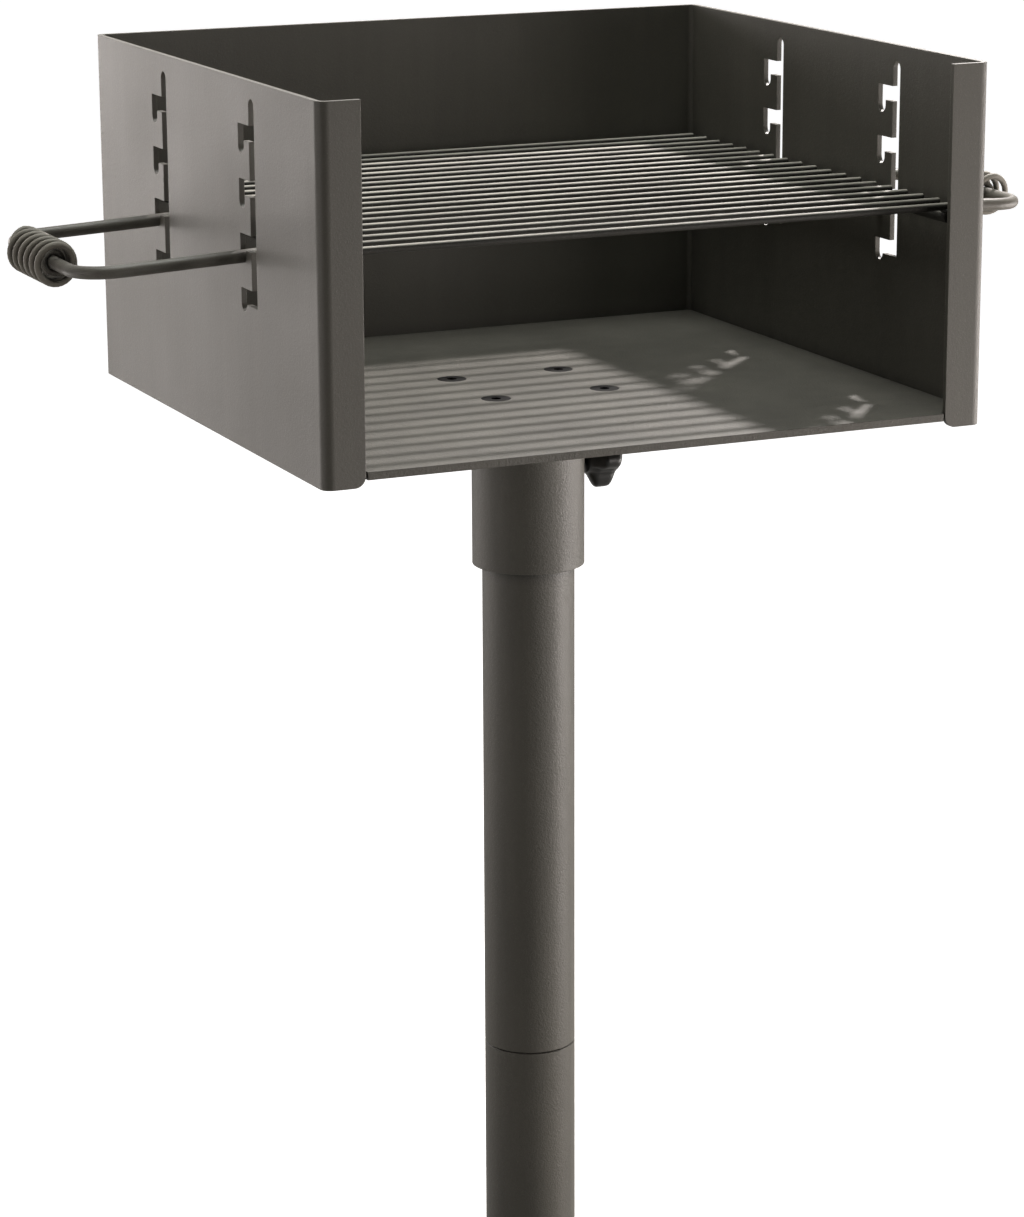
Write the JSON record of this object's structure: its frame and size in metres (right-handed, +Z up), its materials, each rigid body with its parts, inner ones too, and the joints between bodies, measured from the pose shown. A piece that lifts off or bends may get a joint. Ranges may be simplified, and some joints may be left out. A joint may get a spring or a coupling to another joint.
{
  "type": "park bbq grill pedestal",
  "caption": "Charcoal grill for a park: open-fronted steel firebox that swivels on a ground-set post, with a height-adjustable grate and a clamp knob.",
  "frame": {"origin": "the post's axis at ground level", "axes": "+Z up along the post, open front of the firebox towards -Y, clamp knob towards +X"},
  "size_m": [0.6744, 0.396, 1.432],
  "materials": {
    "powder_coat": "satin, fine texture",
    "dark_fastener": "satin",
    "knob_plastic": "gloss"
  },
  "bodies": {
    "post": {"post_upper": "powder_coat", "post_lower": "powder_coat"},
    "firebox": {"firebox_shell": "powder_coat", "firebox_floor": "powder_coat", "collar_flange": "powder_coat", "post_collar": "powder_coat", "floor_bolts": "dark_fastener", "floor_washers": "dark_fastener", "floor_nuts": "dark_fastener"},
    "grate": {"cross_rod_left": "powder_coat", "cross_rod_right": "powder_coat", "handle_left": "powder_coat", "handle_right": "powder_coat", "grip_left": "powder_coat", "grip_right": "powder_coat", "grate_bar_01": "powder_coat", "grate_bar_02": "powder_coat", "grate_bar_03": "powder_coat", "grate_bar_04": "powder_coat", "grate_bar_05": "powder_coat", "grate_bar_06": "powder_coat", "grate_bar_07": "powder_coat", "grate_bar_08": "powder_coat", "grate_bar_09": "powder_coat", "grate_bar_10": "powder_coat", "grate_bar_11": "powder_coat", "grate_bar_12": "powder_coat", "grate_bar_13": "powder_coat", "grate_bar_14": "powder_coat", "grate_bar_15": "powder_coat", "grate_bar_16": "powder_coat", "grate_bar_17": "powder_coat", "grate_bar_18": "powder_coat", "grate_bar_19": "powder_coat"},
    "clamp_stud": {"clamp_stud": "dark_fastener"},
    "clamp_knob": {"clamp_knob": "knob_plastic"}
  },
  "joints": [
    {"name": "firebox_swivel", "type": "hinge", "parent": "post", "child": "firebox", "pos_m": [0, 0, 0.7], "axis": [0, 0, 1], "continuous": true},
    {"name": "grate_lift", "type": "slide", "parent": "firebox", "child": "grate", "axis": [0, 0, 1], "range_m": [0, 0.0085]},
    {"name": "clamp_travel", "type": "slide", "parent": "firebox", "child": "clamp_stud", "axis": [1, 0, 0], "range_m": [0, 0.00487]},
    {"name": "knob_turn", "type": "hinge", "parent": "clamp_stud", "child": "clamp_knob", "pos_m": [0.045, 0, 0.708], "axis": [1, 0, 0], "range_deg": [0, 1170]}
  ],
  "couplings": [
    {"joint": "clamp_travel", "follows": "knob_turn", "m_per_rad": 0.00023873}
  ]
}
